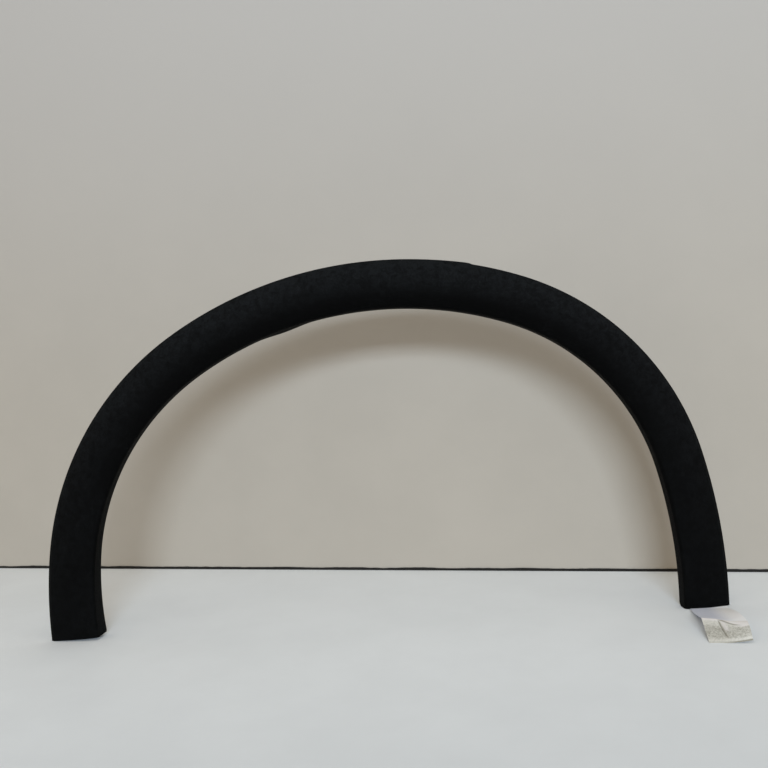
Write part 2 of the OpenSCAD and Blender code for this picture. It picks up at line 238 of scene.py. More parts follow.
class Outline:
    """The outer edge as five tangent arcs in the XZ plane, with the bow of the body side."""

    def __init__(self, o, s):
        self.radii = [o.leg_radius_right, o.shoulder_radius_right, o.crown_radius,
                      o.shoulder_radius_left, o.leg_radius_left]
        self.crown_line = s.band_w - s.crown_inset
        turns = [0, o.leg_turn_right, o.shoulder_turn_right, o.shoulder_turn_left, o.leg_turn_left]
        crown = Vector((0, self.crown_line - o.crown_radius))
        shoulder_right = crown + (o.crown_radius - o.shoulder_radius_right) * self.way(turns[2])
        leg_right = shoulder_right + (o.shoulder_radius_right - o.leg_radius_right) * self.way(turns[1])
        shoulder_left = crown + (o.crown_radius - o.shoulder_radius_left) * self.way(turns[3])
        leg_left = shoulder_left + (o.shoulder_radius_left - o.leg_radius_left) * self.way(turns[4])
        self.centres = [leg_right, shoulder_right, crown, shoulder_left, leg_left]
        self.last_turn = pi - asin((FLOOR - leg_left[1]) / o.leg_radius_left)
        self.turns = turns + [self.last_turn]
        self.body_radius = o.body_side_radius
        self.ease = s.ease
        self.middle = (self.point(0)[0] + self.point(self.last_turn)[0]) / 2
        self.crown_depth = 0
        self.crown_depth = self.depth(0)
        self.lengths = [r * (b - a) for r, a, b in zip(self.radii, self.turns, self.turns[1:])]
        self.full = sum(self.lengths)
        self.crown_station = sum(self.lengths[:2]) + o.crown_radius * (pi / 2 - turns[2])

    @staticmethod
    def way(a):
        return Vector((cos(a), sin(a)))

    def arc_of(self, a):
        """Which of the five arcs holds a slope of the outer edge."""
        return sum(a > t for t in self.turns[1:5])

    def point(self, a):
        i = self.arc_of(a)
        return self.centres[i] + self.radii[i] * self.way(a)

    def turn_at(self, station):
        i = 0
        while i < 4 and station > self.lengths[i]:
            station -= self.lengths[i]
            i += 1
        return self.turns[i] + station / self.radii[i]

    def foot_share(self, a):
        """0 at the crown and 1 at the feet, by the length along the outer edge."""
        i = self.arc_of(a)
        past = sum(self.lengths[:i]) + self.radii[i] * (a - self.turns[i]) - self.crown_station
        leg = self.crown_station if past < 0 else self.full - self.crown_station
        return (abs(past) / leg) ** self.ease

    def depth(self, x):
        """How far the body side has fallen away at x, measured from the crown."""
        return self.body_radius - sqrt(self.body_radius ** 2 - (x - self.middle) ** 2) - self.crown_depth

    def at_section(self, a):
        """x away from the wheel, y back, z along the band, at a slope of the outer edge."""
        p, w = self.point(a), self.way(a)
        return Matrix(((w[0], 0, -w[1], p[0]), (0, 1, 0, 0), (w[1], 0, w[0], p[1]), (0, 0, 0, 1)))

    def at_crown_line(self, a):
        x = self.point(a)[0] - self.crown_line * cos(a)
        return self.at_section(a) @ Matrix.Translation((-self.crown_line, self.depth(x), 0))


def quarter(steps=4):
    """Turns of a quarter circle in even steps."""
    return [pi / 2 * k / steps for k in range(steps + 1)]


def arc(centre, radius, start, end, steps):
    """Points of an arc, with angles from the front of its centre, positive towards the outer edge."""
    turns = [start + (end - start) * i / steps for i in range(steps + 1)]
    return [centre + radius * Vector((sin(a), -cos(a))) for a in turns]


def rounded(points, radii, steps=CORNER_STEPS):
    """An open line of points, with an arc of its own radius at each corner that has one."""
    out = []
    for i, p in enumerate(points):
        r = radii.get(i, 0)
        if not r:
            out.append(p)
            continue
        before, after = points[i - 1] - p, points[(i + 1) % len(points)] - p
        half = before.angle(after) / 2
        reach = min(r / tan(half), before.length * MOST_OF_SIDE, after.length * MOST_OF_SIDE)
        r = reach * tan(half)
        centre = p + (before.normalized() + after.normalized()).normalized() * (r / sin(half))
        start, end = p + before.normalized() * reach - centre, p + after.normalized() * reach - centre
        sweep = start.angle_signed(end)
        out += [centre + Matrix.Rotation(-sweep * k / steps, 2) @ start for k in range(steps + 1)]
    return out


class Section:
    """The section at one slope of the outer edge, which flattens towards the feet. x is 0 at that edge and
    negative towards the wheel, and y is the depth behind the lip's plane."""

    def __init__(self, s, outline, a):
        self.s, self.outline, self.a = s, outline, a
        self.foot_share = outline.foot_share(a)
        line = outline.crown_line
        self.height = self.eased(s.crown_h, s.crown_h_foot)
        self.inner_radius = self.eased(s.face_radius, s.face_radius_foot)
        run, rise = line - s.lip_w, self.height - self.eased(s.lip_h, s.lip_h_foot)
        self.outer_radius = (run * run + rise * rise) / (2 * rise)
        self.outer_angle = asin(run / self.outer_radius)
        left = a > pi / 2
        self.roll = self.eased(s.roll_radius, s.roll_radius_foot)
        self.draft = self.eased(s.flange_draft, s.flange_draft_left) if left else s.flange_draft
        inset = self.eased(s.crown_inset, s.foot_inset_left) if left else s.crown_inset
        to_roll = self.inner_radius - self.roll
        self.inner_angle = asin((inset - self.roll * cos(self.draft)) / to_roll)
        self.outer_centre = Vector((-line, self.outer_radius - self.height))
        self.inner_centre = Vector((-line, self.inner_radius - self.height))
        to_side = Vector((sin(self.inner_angle), cos(self.inner_angle)))
        self.roll_centre = self.inner_centre - to_roll * to_side
        self.flange_way = Vector((-sin(self.draft), cos(self.draft)))
        self.flange_in = Vector((cos(self.draft), sin(self.draft)))
        self.flange_root = self.roll_centre - self.roll * self.flange_in
        self.reach = self.eased(s.flange_reach_crown, s.flange_reach_left if left else s.flange_reach_right)

    def eased(self, crown, foot):
        return crown + (foot - crown) * self.foot_share

    def face_line(self, depth, start, steps=FACE_STEPS):
        """The face and its rolled edge at a depth below the surface, from an angle on the outer part."""
        return (
            arc(self.outer_centre, self.outer_radius - depth, start, 0, steps[0])
            + arc(self.inner_centre, self.inner_radius - depth, 0, -self.inner_angle, steps[1])[1:]
            + arc(self.roll_centre, self.roll - depth, -self.inner_angle, self.draft - pi / 2, steps[2])[1:]
        )

    def flange_point(self, depth, reach):
        along = (reach - self.flange_root[1]) / cos(self.draft)
        return self.flange_root + along * self.flange_way + depth * self.flange_in

    def wall_line(self, trim=0):
        """(closed line of the wall's section, number of its points that lie on the show side)"""
        s = self.s
        self.reach -= trim
        lip = self.eased(s.lip_t, s.lip_t_foot)
        root = self.flange_root[1]
        reaches = [root + (self.reach - root) * k for k in FLANGE_SHARES]
        flange = [self.flange_point(0, r) for r in reaches]
        back = [self.flange_point(s.wall, r) for r in reaches[::-1]]
        show = [Vector((0, -lip * cos(self.outer_angle)))] + self.face_line(0, self.outer_angle) + flange
        hidden = back + self.face_line(s.wall, self.outer_angle)[::-1]
        hidden.append(Vector((-lip * sin(self.outer_angle), 0)))
        last = len(show) - 1
        corners = {0: s.edge_round, 1: s.crease_round, last: s.edge_round, last + 1: s.edge_round,
                   last + len(hidden): s.edge_round}
        # each rounded corner adds points, and the last point of the flange belongs to the show side
        return rounded(show + hidden, corners), last + 3 * CORNER_STEPS - 1

    def in_section(self, points):
        """Points in the frame of at_section, on the curved body side."""
        o = self.outline
        x = o.point(self.a)[0]
        return [Vector((q[0], q[1] + o.depth(x + q[0] * cos(self.a)))) for q in points]


def mesh_object(name, bm, materials, home=None):
    bmesh.ops.recalc_face_normals(bm, faces=bm.faces)
    mesh = bpy.data.meshes.new(name)
    bm.to_mesh(mesh)
    bm.free()
    piece = bpy.data.objects.new(name, mesh)
    (home or bpy.context.scene.collection).objects.link(piece)
    for material in materials:
        mesh.materials.append(material)
    return piece


def smooth(piece, sharpest):
    """Shades a piece smooth, apart from edges that bend more than an angle in degrees."""
    piece.data.polygons.foreach_set("use_smooth", [True] * len(piece.data.polygons))
    piece.data.set_sharp_from_angle(angle=radians(sharpest))


class Faults:
    """Small faults of the real strip: a proud stretch of lip that ends in a nick, and a bowed flange."""

    def __init__(self, f, outline):
        self.f = f
        self.nick = outline.crown_station - f.nick_from_crown
        self.bowed = outline.crown_station + f.bow_from_crown

    def lip(self, station):
        past = station - self.nick
        if past < 0:
            return self.f.proud * max(0, 1 + past / self.f.nick_end)
        return self.f.proud * max(0, 1 - past / self.f.proud_run) ** 2

    def bow(self, station):
        x = abs(station - self.bowed) / self.f.bow_run
        return self.f.bow * (1 + cos(pi * x)) / 2 if x < 1 else 0

    def shift(self, q, section, station):
        """How far a point of the section moves away from the wheel."""
        root, flange_share = section.flange_root[1], 0
        if q[0] < -section.outline.crown_line:
            flange_share = min(1, max(0, (q[1] - root) / (section.reach - root)))
        lip_share = max(0, 1 + q[0] / section.s.lip_w)
        return self.lip(station) * lip_share - self.bow(station) * flange_share


def swept_wall(outline, s, faults):
    """The closed wall, with its feet rounded off by a few rings that draw in."""
    count = ceil(outline.full / sizes("arch_outline").ring_step)
    r = s.edge_round
    # (distance from the foot, how far the ring is drawn in)
    foot = [(r * (1 - cos(t)), r * (1 - sin(t))) for t in quarter(FOOT_RINGS)]
    corner = [s.corner_round * k / CORNER_RINGS for k in range(1, CORNER_RINGS + 1)]
    # the corner's rings stay clear of the rings over the foot's edge
    start = foot + [(d, 0) for d in corner if d > r * 1.5]
    middle = [outline.full * k / count for k in range(1, count)]
    middle = [(d, 0) for d in middle if start[-1][0] < d < outline.full - start[-1][0]]
    stations = start + middle + [(outline.full - d, inset) for d, inset in start[::-1]]
    bm = bmesh.new()
    rings = []
    for station, inset in stations:
        a = outline.turn_at(station)
        section = Section(s, outline, a)
        corner_round = s.corner_round_left if a > pi / 2 else s.corner_round
        from_foot = min(1, min(station, outline.full - station) / corner_round)
        line, shown = section.wall_line(corner_round * (1 - sqrt(1 - (1 - from_foot) ** 2)))
        n = len(line)
        if inset:
            along = [(line[(i + 1) % n] - line[i - 1]).normalized() for i in range(n)]
            line = [q + inset * Vector((-w[1], w[0])) for q, w in zip(line, along)]
        line = [q + Vector((faults.shift(q, section, station), 0)) for q in line]
        at = outline.at_section(a)
        rings.append([bm.verts.new(at @ Vector((q[0], q[1], 0))) for q in section.in_section(line)])
    for one, two in zip(rings, rings[1:]):
        for i in range(n):
            j = (i + 1) % n
            f = bm.faces.new((one[i], one[j], two[j], two[i]))
            f.material_index = SHOW if i < shown else HIDDEN
    for ring in (rings[0][::-1], rings[-1]):
        f = bm.faces.new(ring)
        f.material_index = SHOW
        bmesh.ops.triangulate(bm, faces=[f])
    return bm


def prism(points, start, end, lift, chamfer=0):
    """A closed prism over a flat outline. lift turns a point of the outline and a height into a place."""
    bm = bmesh.new()
    low = [bm.verts.new(lift(p, start)) for p in points]
    high = [bm.verts.new(lift(p, end)) for p in points]
    n = len(points)
    for i in range(n):
        bm.faces.new((low[i], low[(i + 1) % n], high[(i + 1) % n], high[i]))
    bm.faces.new(low[::-1])
    top = bm.faces.new(high)
    if chamfer:
        bmesh.ops.bevel(bm, geom=list(top.edges), offset=chamfer, segments=2, profile=0.5, affect="EDGES")
    return bm


def lathe(profile, sides=PIN_SIDES):
    """A closed solid of revolution about z. profile holds (radius, height) pairs, from axis to axis."""
    bm = bmesh.new()
    turns = [2 * pi * k / sides for k in range(sides)]
    rings = []
    for r, z in profile:
        spots = [(r * cos(t), r * sin(t), z) for t in turns] if r else [(0, 0, z)]
        rings.append([bm.verts.new(spot) for spot in spots])
    for one, two in zip(rings, rings[1:]):
        ends = ((one, 0), (one, 1), (two, 1), (two, 0))
        for k in range(sides):
            corners = [ring[(k + step) % len(ring)] for ring, step in ends]
            bm.faces.new(list(dict.fromkeys(corners)))
    return bm


def place(bm, matrix):
    """Moves a solid to its place. All of it is of the hidden side's plastic."""
    bm.transform(matrix)
    for f in bm.faces:
        f.material_index = HIDDEN
    return bm


class Details:
    """Every feature on the hidden side, at its place along the band."""

    def __init__(self, outline, s, d):
        self.outline, self.s, self.d = outline, s, d
        self.pitch_right = outline.crown_station / d.towers_per_side
        self.pitch_left = (outline.full - outline.crown_station) / d.towers_per_side

    def spread(self, steps):
        """Slopes that lie some steps of the towers' pitch right of the crown, and then left of it."""
        o = self.outline
        return ([o.turn_at(o.crown_station - k * self.pitch_right) for k in steps]
                + [o.turn_at(o.crown_station + k * self.pitch_left) for k in steps])

    def tower_seat(self, a):
        """The plate of a clip tower, with its keyhole slot open along the band."""
        d = self.d
        w, l, r = d.tower_w / 2, d.tower_l / 2, d.slot_w / 2
        turns = [pi * k / SLOT_STEPS for k in range(SLOT_STEPS + 1)]
        slot = [Vector((-r * cos(t), -r * sin(t))) for t in turns]
        outline = [Vector((-w, -l)), Vector((w, -l)), Vector((w, l)), Vector((r, l))]
        outline += slot[::-1] + [Vector((-r, l)), Vector((-w, l))]
        top = -d.seat_gap
        bm = prism(outline, top - d.seat_t, top, lambda p, h: Vector((p[0], h, p[1])), d.chamfer)
        return place(bm, self.outline.at_crown_line(a))

    def wall_middle(self, a, across, along):
        """Depth of the middle of the face's wall beside a place on the crown line, in its frame."""
        o, here = self.outline, self.outline.at_crown_line(a)
        p = here @ Vector((across, 0, along))
        i = o.arc_of(a)
        out = Vector((p[0], p[2])) - o.centres[i]
        c = Section(self.s, o, atan2(out[1], out[0]))
        beside = out.length - o.radii[i] + o.crown_line
        radius = c.outer_radius if beside > 0 else c.inner_radius
        fallen = radius - sqrt(radius ** 2 - beside ** 2) + o.depth(p[0]) - here.translation[1]
        return self.s.wall / 2 - c.height + fallen

    def tower_body(self, a):
        """The two side walls and the cross wall under the plate, which all start inside the face's wall."""
        d = self.d
        w, l, t = d.tower_w / 2, d.tower_l / 2, d.tower_wall
        inside = ((w - t, l), (w - t, -l + t), (-w + t, -l + t), (-w + t, l))
        outline = [Vector(p) for p in ((-w, -l), (w, -l), (w, l), *inside, (-w, l))]
        seat = -d.seat_gap - d.seat_t / 2

        def lift(p, up):
            root = self.wall_middle(a, p[0], p[1])
            return Vector((p[0], root + (seat - root) * up, p[1]))

        return place(prism(outline, 0, 1, lift), self.outline.at_crown_line(a))

    def slab(self, section, points, start, end):
        """A flat outline in a section, as thick as its two places along the band are apart."""
        bm = prism(section.in_section(points), start, end, lambda p, h: Vector((p[0], p[1], h)))
        return place(bm, self.outline.at_section(section.a))

    def gusset_rib(self, a):
        d, c = self.d, Section(self.s, self.outline, a)
        half = self.s.wall / 2
        points = c.face_line(half, asin(d.rib_span / c.outer_radius), RIB_STEPS)
        points += [c.flange_point(half, d.rib_reach), c.flange_point(self.s.wall + d.rib_t, d.rib_reach)]
        return self.slab(c, points, -d.rib_t / 2, d.rib_t / 2)

    def end_wall(self, a, side):
        d, c = self.d, Section(self.s, self.outline, a)
        half, reach = self.s.wall / 2, self.s.flange_reach_crown
        points = c.face_line(half, c.outer_angle * END_WALL_SPAN, END_WALL_STEPS)
        points += [c.flange_point(half, reach), c.flange_point(self.s.wall, reach),
                   Vector((-self.outline.crown_line, 0))]
        return self.slab(c, points, side * d.end_wall_inset, side * (d.end_wall_inset + d.end_wall_t))

    def locating_pin(self, a):
        """A pin on a shoulder, both with small roundings at their roots."""
        d, root = self.d, self.s.wall / 2 - Section(self.s, self.outline, a).height
        r, wide, tip, top, fine = d.pin_d / 2, d.shoulder_d / 2, d.pin_reach, -d.seat_gap, d.chamfer
        fillet = [(r + fine * (1 - sin(t)), top + fine * (1 - cos(t))) for t in quarter()]
        profile = [(0, root), (wide, root), (wide, top - fine), (wide - fine, top)] + fillet
        end = r - d.pin_lead / 2
        profile += [(r, tip - d.pin_lead), (end + fine, tip - fine), (end, tip), (0, tip)]
        return place(lathe(profile), self.outline.at_crown_line(a) @ Matrix.Rotation(-pi / 2, 4, "X"))

    def at_screw(self, a):
        """z runs along a screw hole from the wheel side of the flange."""
        c = Section(self.s, self.outline, a)
        foot = c.in_section([c.flange_root + self.d.screw_inset * c.flange_way])[0]
        return (self.outline.at_section(a) @ Matrix.Translation((foot[0], foot[1], 0))
                @ Matrix.Rotation(pi / 2, 4, "Y") @ Matrix.Rotation(-c.draft, 4, "X"))

    def screw_pad(self, a):
        d, s = self.d, self.s
        r, low, top, fine = d.pad_d / 2, s.wall / 2, s.wall + d.pad_h, d.chamfer
        bm = lathe([(0, low), (r, low), (r, top - fine), (r - fine, top), (0, top)], SCREW_SIDES)
        return place(bm, self.at_screw(a))

    def screw_hole(self, a):
        d, s = self.d, self.s
        r, top, lead = d.screw_d / 2, s.wall + d.pad_h, d.chamfer
        bm = lathe([(0, -PAST), (r + lead + PAST, -PAST), (r + lead, 0), (r, lead), (r, top - lead),
                    (r + lead, top), (r + lead + PAST, top + PAST), (0, top + PAST)], SCREW_SIDES)
        return place(bm, self.at_screw(a))

    def solids(self):
        n = self.d.towers_per_side
        towers = self.spread([i + TOWER_AT for i in range(n)])
        # no rib stands beyond the last tower
        ribs = self.spread([i + k for i in range(n) for k in RIBS_AT if i + k < n - 1 + TOWER_AT])
        out = [make(a) for a in towers for make in (self.tower_body, self.tower_seat)]
        out += [self.gusset_rib(a) for a in ribs]
        out += [self.locating_pin(a) for a in [pi / 2] + self.spread([n // 2])]
        out += [self.screw_pad(a) for a in self.spread([SCREW_AT])]
        out += [self.end_wall(0, 1), self.end_wall(self.outline.last_turn, -1)]
        return out

    def cutters(self):
        return [self.screw_hole(a) for a in self.spread([SCREW_AT])]


def combine(piece, solids, operation):
    """Joins closed solids to a piece, or cuts them out of it."""
    group = bpy.data.collections.new(operation)
    bpy.context.scene.collection.children.link(group)
    for i, bm in enumerate(solids):
        mesh_object(f"{operation}_{i}", bm, piece.data.materials, group)
    cut = piece.modifiers.new(operation, "BOOLEAN")
    cut.operation, cut.operand_type, cut.collection, cut.solver = operation, "COLLECTION", group, "EXACT"
    dg = bpy.context.evaluated_depsgraph_get()
    mesh = bpy.data.meshes.new_from_object(piece.evaluated_get(dg))
    piece.modifiers.clear()
    piece.data = mesh
    for tool in list(group.objects):
        bpy.data.objects.remove(tool)
    bpy.data.collections.remove(group)


class Shader:
    """A short way to write a node tree: each call adds a node, sets its values and joins its inputs."""

    def __init__(self, tree):
        self.tree = tree

    def add(self, kind, inputs=None, **settings):
        n = self.tree.nodes.new(kind)
        for key, value in settings.items():
            setattr(n, key, value)
        self.feed(n, inputs or {})
        return n

    def feed(self, node, inputs):
        """Sets a node's inputs to values, or joins them to other nodes' outputs."""
        for key, value in inputs.items():
            if isinstance(value, bpy.types.NodeSocket):
                self.tree.links.new(value, node.inputs[key])
            else:
                node.inputs[key].default_value = value

    def object_place(self):
        return self.add("ShaderNodeTexCoord").outputs["Object"]

    def maths(self, operation, a, b=0.0, clamp=False):
        return self.add("ShaderNodeMath", {0: a, 1: b}, operation=operation, use_clamp=clamp).outputs[0]

    def times(self, a, b, clamp=False):
        return self.maths("MULTIPLY", a, b, clamp)

    def ramp(self, value, low, high, to_low=0.0, to_high=1.0):
        ends = {"From Min": low, "From Max": high, "To Min": to_low, "To Max": to_high}
        n = self.add("ShaderNodeMapRange", {"Value": value, **ends}, interpolation_type="SMOOTHSTEP")
        return n.outputs["Result"]

    def band(self, value, start, full, fade, end):
        """1 from full to fade, and 0 before start and after end."""
        return self.times(self.ramp(value, start, full), self.ramp(value, end, fade))

    def clouds(self, where, scale, detail, rough=0.5, bend=0.0):
        inputs = {"Vector": where, "Scale": scale, "Detail": detail, "Roughness": rough, "Distortion": bend}
        return self.add("ShaderNodeTexNoise", inputs).outputs["Fac"]

    def relief(self, height, strength, distance):
        inputs = {"Height": height, "Strength": strength, "Distance": distance}
        return self.add("ShaderNodeBump", inputs).outputs["Normal"]

    def blend(self, factor, a, b):
        a, b = (c if isinstance(c, bpy.types.NodeSocket) else (*c, 1) for c in (a, b))
        inputs = {MIX_FACTOR: factor, MIX_A: a, MIX_B: b}
        return self.add("ShaderNodeMix", inputs, data_type="RGBA").outputs[MIX_OUT]


def effect(name, inputs, outputs):
    """A node group of numbers, with defaults for its inputs. Returns (group, shader, inputs, end node)."""
    group = bpy.data.node_groups.new(name, "ShaderNodeTree")
    for key, default in inputs.items():
        socket = group.interface.new_socket(key, in_out="INPUT", socket_type="NodeSocketFloat")
        socket.default_value = default
    for key in outputs:
        group.interface.new_socket(key, in_out="OUTPUT", socket_type="NodeSocketFloat")
    given = group.nodes.new("NodeGroupInput").outputs
    return group, Shader(group), given, group.nodes.new("NodeGroupOutput")


def moulded_grain():
    """Pebbles of a moulded grain with fine tooth on top of them, as one height, and the valleys between."""
    group, s, given, end = effect(
        "Moulded grain", {"Pebble size": 0.001, "Depth": 1.0}, ("Height", "Valley"))
    size, where = given["Pebble size"], s.object_place()
    per_metre = s.maths("DIVIDE", 1.0, size)
    # the pebbles' net is bent, so that it doesn't look drawn
    bend = s.add("ShaderNodeTexNoise", {"Vector": where, "Scale": s.times(per_metre, 0.6), "Detail": 2.0})
    shift = s.add("ShaderNodeVectorMath", {0: bend.outputs["Color"], "Scale": s.times(size, 0.7)},
                  operation="SCALE").outputs[0]
    there = s.add("ShaderNodeVectorMath", {0: where, 1: shift}, operation="ADD").outputs[0]
    net = s.add("ShaderNodeTexVoronoi", {"Vector": there, "Scale": per_metre}, feature="DISTANCE_TO_EDGE")
    dome = s.ramp(net.outputs["Distance"], 0.0, 0.28)
    tooth = s.times(s.clouds(where, s.times(per_metre, 3.5), detail=3.0), 0.45)
    height = s.times(s.maths("ADD", dome, tooth), given["Depth"])
    s.feed(end, {"Height": height, "Valley": s.maths("SUBTRACT", 1.0, dome)})
    return group


def marks_and_top_light():
    """How far the surface has paled: most where it looks up, partly for settled dust and partly as painted
    light from above, in blotches and specks, and where rubbed.
    """
    group, s, given, end = effect("Marks and painted top light", {"Amount": 1.0}, ("Pale", "Rubbed"))
    where, amount = s.object_place(), given["Amount"]
    patches = s.clouds(where, 22.0, detail=5.0, rough=0.62)
    streaks = s.clouds(where, 140.0, detail=4.0, rough=0.7, bend=1.4)
    rubbed = s.times(s.ramp(patches, 0.46, 0.72), s.ramp(streaks, 0.42, 0.66))
    blotches = s.clouds(where, 120.0, detail=6.0, rough=0.75, bend=0.6)
    specks = s.clouds(where, 620.0, detail=2.0)
    normal = s.add("ShaderNodeNewGeometry").outputs["Normal"]
    up = s.add("ShaderNodeSeparateXYZ", {"Vector": normal}).outputs["Z"]
    # painted light: paler where the surface looks up, for settled dust and for light falling from above
    dust_and_top_light = s.ramp(up, -0.22, 0.50, 0.03, 0.80)
    uneven = s.times(s.ramp(blotches, 0.34, 0.66, 0.45, 1.45), s.ramp(specks, 0.35, 0.70, 0.85, 1.3))
    pale = s.maths("ADD", s.times(dust_and_top_light, uneven), s.times(rubbed, 0.22))
    s.feed(end, {"Pale": s.times(pale, amount, True), "Rubbed": s.times(rubbed, amount)})
    return group


def new_material(name):
    material = bpy.data.materials.new(name)
    material.use_nodes = True
    tree = material.node_tree
    return material, Shader(tree), tree.nodes["Principled BSDF"]


def plastic(name, tone, groups, grain, depth, bump, rough, marks, sheen):
    """Black moulded plastic, paler where it is rubbed or dusty and where light from above is painted on, with
    its grain as bump.
    """
    material, s, bsdf = new_material(name)
    grained = s.add("ShaderNodeGroup", node_tree=groups["grain"])
    s.feed(grained, {"Pebble size": grain, "Depth": depth})
    marked = s.add("ShaderNodeGroup", node_tree=groups["marks"])
    s.feed(marked, {"Amount": marks})
    # the tone pales towards the chalk colour for wear, dust and painted light from above
    paled = s.blend(marked.outputs["Pale"], tone, sizes("arch_finishes").chalk[:])
    # the grain's valleys are rougher, and what is rubbed is smoother
    rougher = s.maths("ADD", s.times(grained.outputs["Valley"], 0.06), rough)
    rougher = s.maths("SUBTRACT", rougher, s.times(marked.outputs["Rubbed"], 0.07))
    relief = s.relief(grained.outputs["Height"], bump, grain * 0.12)
    s.feed(bsdf, {"Base Color": paled, "Roughness": rougher, "Normal": relief,
                  "Specular IOR Level": sheen})
    return material


def slip_paper():
    """Thin paper: plain and white towards the foot, and faded, mottled and full of creases beyond the fold,
    with painted shade and a painted highlight on its creases and free end. Along the slip, 0 lies at the
    foot,
    1 on the ridge and 2 at the free end. Across it, 0 is the left edge."""
    look = sizes("arch_finishes")
    paper, smudge_and_shade = look.paper[:], look.smudge_and_shade[:]
    material, s, bsdf = new_material("slip_paper")
    uv = s.add("ShaderNodeUVMap", uv_map="along").outputs["UV"]
    along, across, _ = s.add("ShaderNodeSeparateXYZ", {"Vector": uv}).outputs
    where = s.object_place()
    mottle = s.clouds(where, 430.0, detail=5.0, rough=0.8)
    wander = s.clouds(where, 190.0, detail=4.0, rough=0.65)
    edge = s.maths("ADD", along, s.times(s.maths("SUBTRACT", wander, 0.5), 0.16))

    def right_of(start, slope):
        """How far a place lies right of a line that leaves the ridge at start and leans by slope."""
        line = s.maths("ADD", s.times(s.maths("SUBTRACT", along, 1.0), slope), start)
        return s.maths("SUBTRACT", across, line)

    def shaded(tone, *shares):
        return [c * k for c, k in zip(tone, shares)]

    # painted shade makes the plain part greyer and bluer towards its left edge, and a painted lit tone makes
    # it warmer beyond the fold
    painted_lit_paper = shaded(paper, 0.76, 0.72, 0.68)
    plain = s.blend(s.ramp(across, 0.34, 0.84), shaded(paper, 0.70, 0.73, 0.83), paper)
    plain = s.blend(s.ramp(along, 0.96, 1.03), plain, painted_lit_paper)
    # the smudges lie in a band across the faded part, which ends in a paler border
    band = s.band(edge, 1.20, 1.42, 1.76, 1.90)
    smudged = s.times(band, s.ramp(mottle, 0.46, 0.60))
    faded = s.blend(s.ramp(mottle, 0.40, 0.66), look.faded[:], shaded(look.faded, 0.80, 0.80, 0.80))
    faded = s.blend(s.times(band, 0.30), faded, smudge_and_shade)
    faded = s.blend(s.times(smudged, 0.72), faded, smudge_and_shade)
    # a painted highlight: a bright facet lies beside the steep crease
    beside = right_of(0.37, 0.13)
    facet_highlight = s.times(s.band(beside, 0.02, 0.04, 0.07, 0.17), s.band(along, 1.05, 1.12, 1.36, 1.60))
    faded = s.blend(s.times(facet_highlight, 0.85), faded, painted_lit_paper)
    # one crease runs down steeply and one across, and the free end turns down, more so on the right; painted
    # shade darkens both creases, and a painted shadow lies along the free end
    steep = s.ramp(s.maths("ABSOLUTE", beside), 0.032, 0.004)
    steep = s.times(steep, s.band(along, 1.02, 1.10, 1.66, 1.84))
    level = s.ramp(s.maths("ABSOLUTE", right_of(0.39, 1.35)), 0.085, 0.02)
    level = s.times(level, s.band(along, 1.00, 1.03, 1.20, 1.36))
    end_shadow = s.times(s.ramp(along, 1.935, 1.965), s.ramp(across, 0.20, 0.75, 0.25, 0.95))
    crease_shade = s.maths("ADD", s.times(steep, 0.9), s.times(level, 0.8), True)
    crease_shade = s.maths("MAXIMUM", crease_shade, end_shadow)
    # the plain part reaches further down on the right
    beyond = s.ramp(s.maths("SUBTRACT", edge, s.ramp(across, 0.42, 0.90, 0.0, 0.30)), 1.03, 1.14)
    # painted shade: the creases and the free end darken towards the smudge tone
    tone = s.blend(crease_shade, s.blend(beyond, plain, faded), smudge_and_shade)
    fibres = s.relief(s.clouds(uv, 160.0, detail=4.0), 0.25, 0.0002)
    s.feed(bsdf, {"Base Color": tone, "Normal": fibres, "Roughness": 0.72, "Specular IOR Level": 0.3})
    return material


def one_sided(s, bsdf):
    """Lets the camera look through a sheet from behind, so that it doesn't hide the object from there."""
    behind = s.times(s.add("ShaderNodeNewGeometry").outputs["Backfacing"],
                     s.add("ShaderNodeLightPath").outputs["Is Camera Ray"])
    s.feed(bsdf, {"Alpha": s.maths("SUBTRACT", 1.0, behind)})


class MOULDING_OT_strip(bpy.types.Operator):
    """Builds the moulded strip and takes the place of its plain model"""
    bl_idname = "moulding.strip"
    bl_label = "Build the strip"

    def execute(self, context):
        groups = {"grain": moulded_grain(), "marks": marks_and_top_light()}
        look, section = sizes("arch_finishes"), sizes("arch_section")
        show = plastic("grained_plastic", look.plastic[:], groups, grain=look.grain,
                       depth=1.0, bump=0.55, rough=0.62, marks=1.0, sheen=0.03)
        # painted light: the hidden side is painted paler than the face, for light on the dim back
        hidden = plastic("plain_plastic", look.inside[:], groups, grain=look.grain * 1.6,
                         depth=0.35, bump=0.2, rough=0.5, marks=0.3, sheen=0.40)
        outline = Outline(sizes("arch_outline"), section)
        details = Details(outline, section, sizes("arch_details"))
        wall = swept_wall(outline, section, Faults(sizes("arch_faults"), outline))
        strip = mesh_object("arch_strip", wall, (show, hidden))
        combine(strip, details.solids(), "UNION")
        combine(strip, details.cutters(), "DIFFERENCE")
        smooth(strip, 32)
        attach(strip, BODY)
        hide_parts("arch_moulding")
        return {"FINISHED"}


